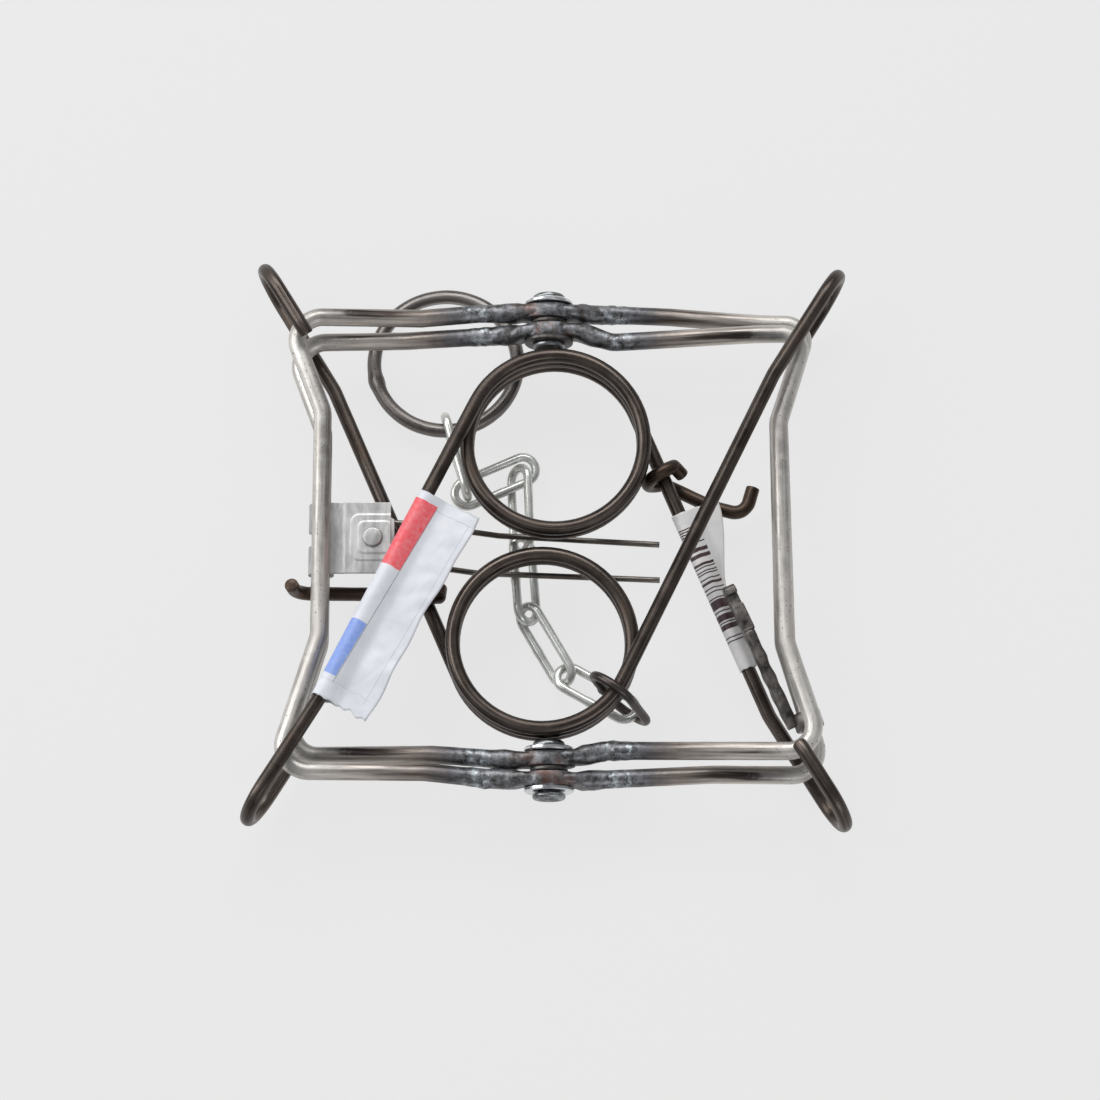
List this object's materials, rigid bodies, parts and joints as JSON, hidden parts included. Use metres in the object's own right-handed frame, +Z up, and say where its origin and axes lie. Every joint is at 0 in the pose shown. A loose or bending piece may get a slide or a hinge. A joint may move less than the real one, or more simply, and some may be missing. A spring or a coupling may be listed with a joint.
{
  "type": "body grip trap",
  "caption": "Fired square body grip trap: hinged rod frames, folded coil springs with eyes, wire trigger, dog, safety hooks, chain and anchor ring.",
  "frame": {"origin": "centre of the outline at the floor that the chain lies on", "axes": "+X across the jaws towards the dog, +Y along the pivot line towards the anchor ring, +Z up from the floor"},
  "size_m": [0.1676, 0.162, 0.0298],
  "materials": {
    "frame_steel": "drawn bright steel rod with scale at the forged pads",
    "rivet_steel": "zinc-plated tubular rivets",
    "washer_zinc": "bright zinc plate with white bloom",
    "spring_steel": "dark oil-tempered spring wire",
    "trigger_sheet": "zinc-plated stamped sheet",
    "trigger_wire": "drawn steel wire",
    "hook_steel": "dark forged steel",
    "chain_zinc": "bright zinc-plated welded wire",
    "ring_steel": "dark welded wire",
    "label_paper": "coated label paper"
  },
  "bodies": {
    "inner_frame": {"inner_frame_left": "frame_steel", "inner_frame_right": "frame_steel", "top_pivot_rivet": "rivet_steel", "bottom_pivot_rivet": "rivet_steel", "inner_washers": "washer_zinc", "middle_washers": "washer_zinc", "outer_washers": "washer_zinc"},
    "outer_frame": {"outer_frame_left": "frame_steel", "outer_frame_right": "frame_steel"},
    "trigger": {"trigger_bracket": "trigger_sheet", "trigger_rivet": "rivet_steel"},
    "swivel": {"trigger_swivel": "trigger_sheet", "trigger_wires": "trigger_wire"},
    "dog": {"dog": "hook_steel"},
    "bottom_spring": {"bottom_spring": "spring_steel", "flag_label": "label_paper", "stripe_label": "label_paper"},
    "top_spring": {"top_spring": "spring_steel"},
    "right_hook": {"right_safety_hook": "hook_steel"},
    "left_hook": {"left_safety_hook": "hook_steel"},
    "coil_ring": {"coil_ring": "ring_steel"},
    "link_1": {"chain_link_1": "chain_zinc"},
    "link_2": {"chain_link_2": "chain_zinc"},
    "link_3": {"chain_link_3": "chain_zinc"},
    "link_4": {"chain_link_4": "chain_zinc"},
    "link_5": {"chain_link_5": "chain_zinc"},
    "link_6": {"chain_link_6": "chain_zinc"},
    "anchor_ring": {"anchor_ring": "chain_zinc"}
  },
  "joints": [
    {"name": "jaw_open", "type": "hinge", "parent": "inner_frame", "child": "outer_frame", "pos_m": [0, 0, 0.0176], "axis": [0, 1, 0], "range_deg": [0, 105], "stiffness_Nm_per_rad": 0.3, "springref_deg": -17.19, "deforming": ["bottom_spring", "top_spring", "flag_label", "stripe_label"]},
    {"name": "trigger_fire", "type": "hinge", "parent": "inner_frame", "child": "trigger", "pos_m": [-0.06341, 0, 0.01428], "axis": [0, -1, 0], "range_deg": [0, 15]},
    {"name": "trigger_turn", "type": "hinge", "parent": "trigger", "child": "swivel", "pos_m": [-0.049, 0.0016, 0.0161], "axis": [0, 0, 1], "range_deg": [-8, 8]},
    {"name": "dog_swing", "type": "hinge", "parent": "outer_frame", "child": "dog", "pos_m": [0.07135, -0.04956, 0.01386], "axis": [0.286, -0.9581, -0.015], "range_deg": [0, 75]},
    {"name": "bottom_spring_swing", "type": "hinge", "parent": "inner_frame", "child": "bottom_spring", "pos_m": [0, -0.062, 0.0176], "axis": [-1, 0, 0], "range_deg": [0, 180]},
    {"name": "top_spring_swing", "type": "hinge", "parent": "inner_frame", "child": "top_spring", "pos_m": [0, 0.062, 0.0176], "axis": [1, 0, 0], "range_deg": [0, 180]},
    {"name": "right_hook_swing", "type": "hinge", "parent": "bottom_spring", "child": "right_hook", "pos_m": [0.0324, 0.01976, 0.0116], "axis": [0, 0, 1], "range_deg": [-8, 8]},
    {"name": "left_hook_swing", "type": "hinge", "parent": "top_spring", "child": "left_hook", "pos_m": [-0.03476, -0.01424, 0.0111], "axis": [0, 0, 1], "range_deg": [-6, 6]},
    {"name": "coil_ring_turn", "type": "hinge", "parent": "top_spring", "child": "coil_ring", "pos_m": [0.0228, -0.0454, 0.0116], "axis": [0, 0, 1], "range_deg": [-4, 4]},
    {"name": "link_6_swing", "type": "hinge", "parent": "coil_ring", "child": "link_6", "pos_m": [0.0224, -0.0454, 0.0063], "axis": [0, 0, -1], "range_deg": [-4, 4]},
    {"name": "link_5_swing", "type": "hinge", "parent": "link_6", "child": "link_5", "pos_m": [0.0042, -0.0348, 0.0043], "axis": [0, 0, 1], "range_deg": [-4, 4]},
    {"name": "link_4_swing", "type": "hinge", "parent": "link_5", "child": "link_4", "pos_m": [-0.006, -0.0172, 0.0039], "axis": [0, 0, -1], "range_deg": [-4, 4]},
    {"name": "link_3_swing", "type": "hinge", "parent": "link_4", "child": "link_3", "pos_m": [-0.0076, 0.0028, 0.00385], "axis": [0, 0, 1], "range_deg": [-4, 4]},
    {"name": "link_2_swing", "type": "hinge", "parent": "link_3", "child": "link_2", "pos_m": [-0.0066, 0.0236, 0.0042], "axis": [0, 0, -1], "range_deg": [-4, 4]},
    {"name": "link_1_swing", "type": "hinge", "parent": "link_2", "child": "link_1", "pos_m": [-0.0242, 0.0172, 0.0047], "axis": [0, 0, 1], "range_deg": [-4, 4]},
    {"name": "anchor_ring_swing", "type": "hinge", "parent": "link_1", "child": "anchor_ring", "pos_m": [-0.0292, 0.0376, 0.0049], "axis": [0, 0, -1], "range_deg": [-6, 6]}
  ]
}
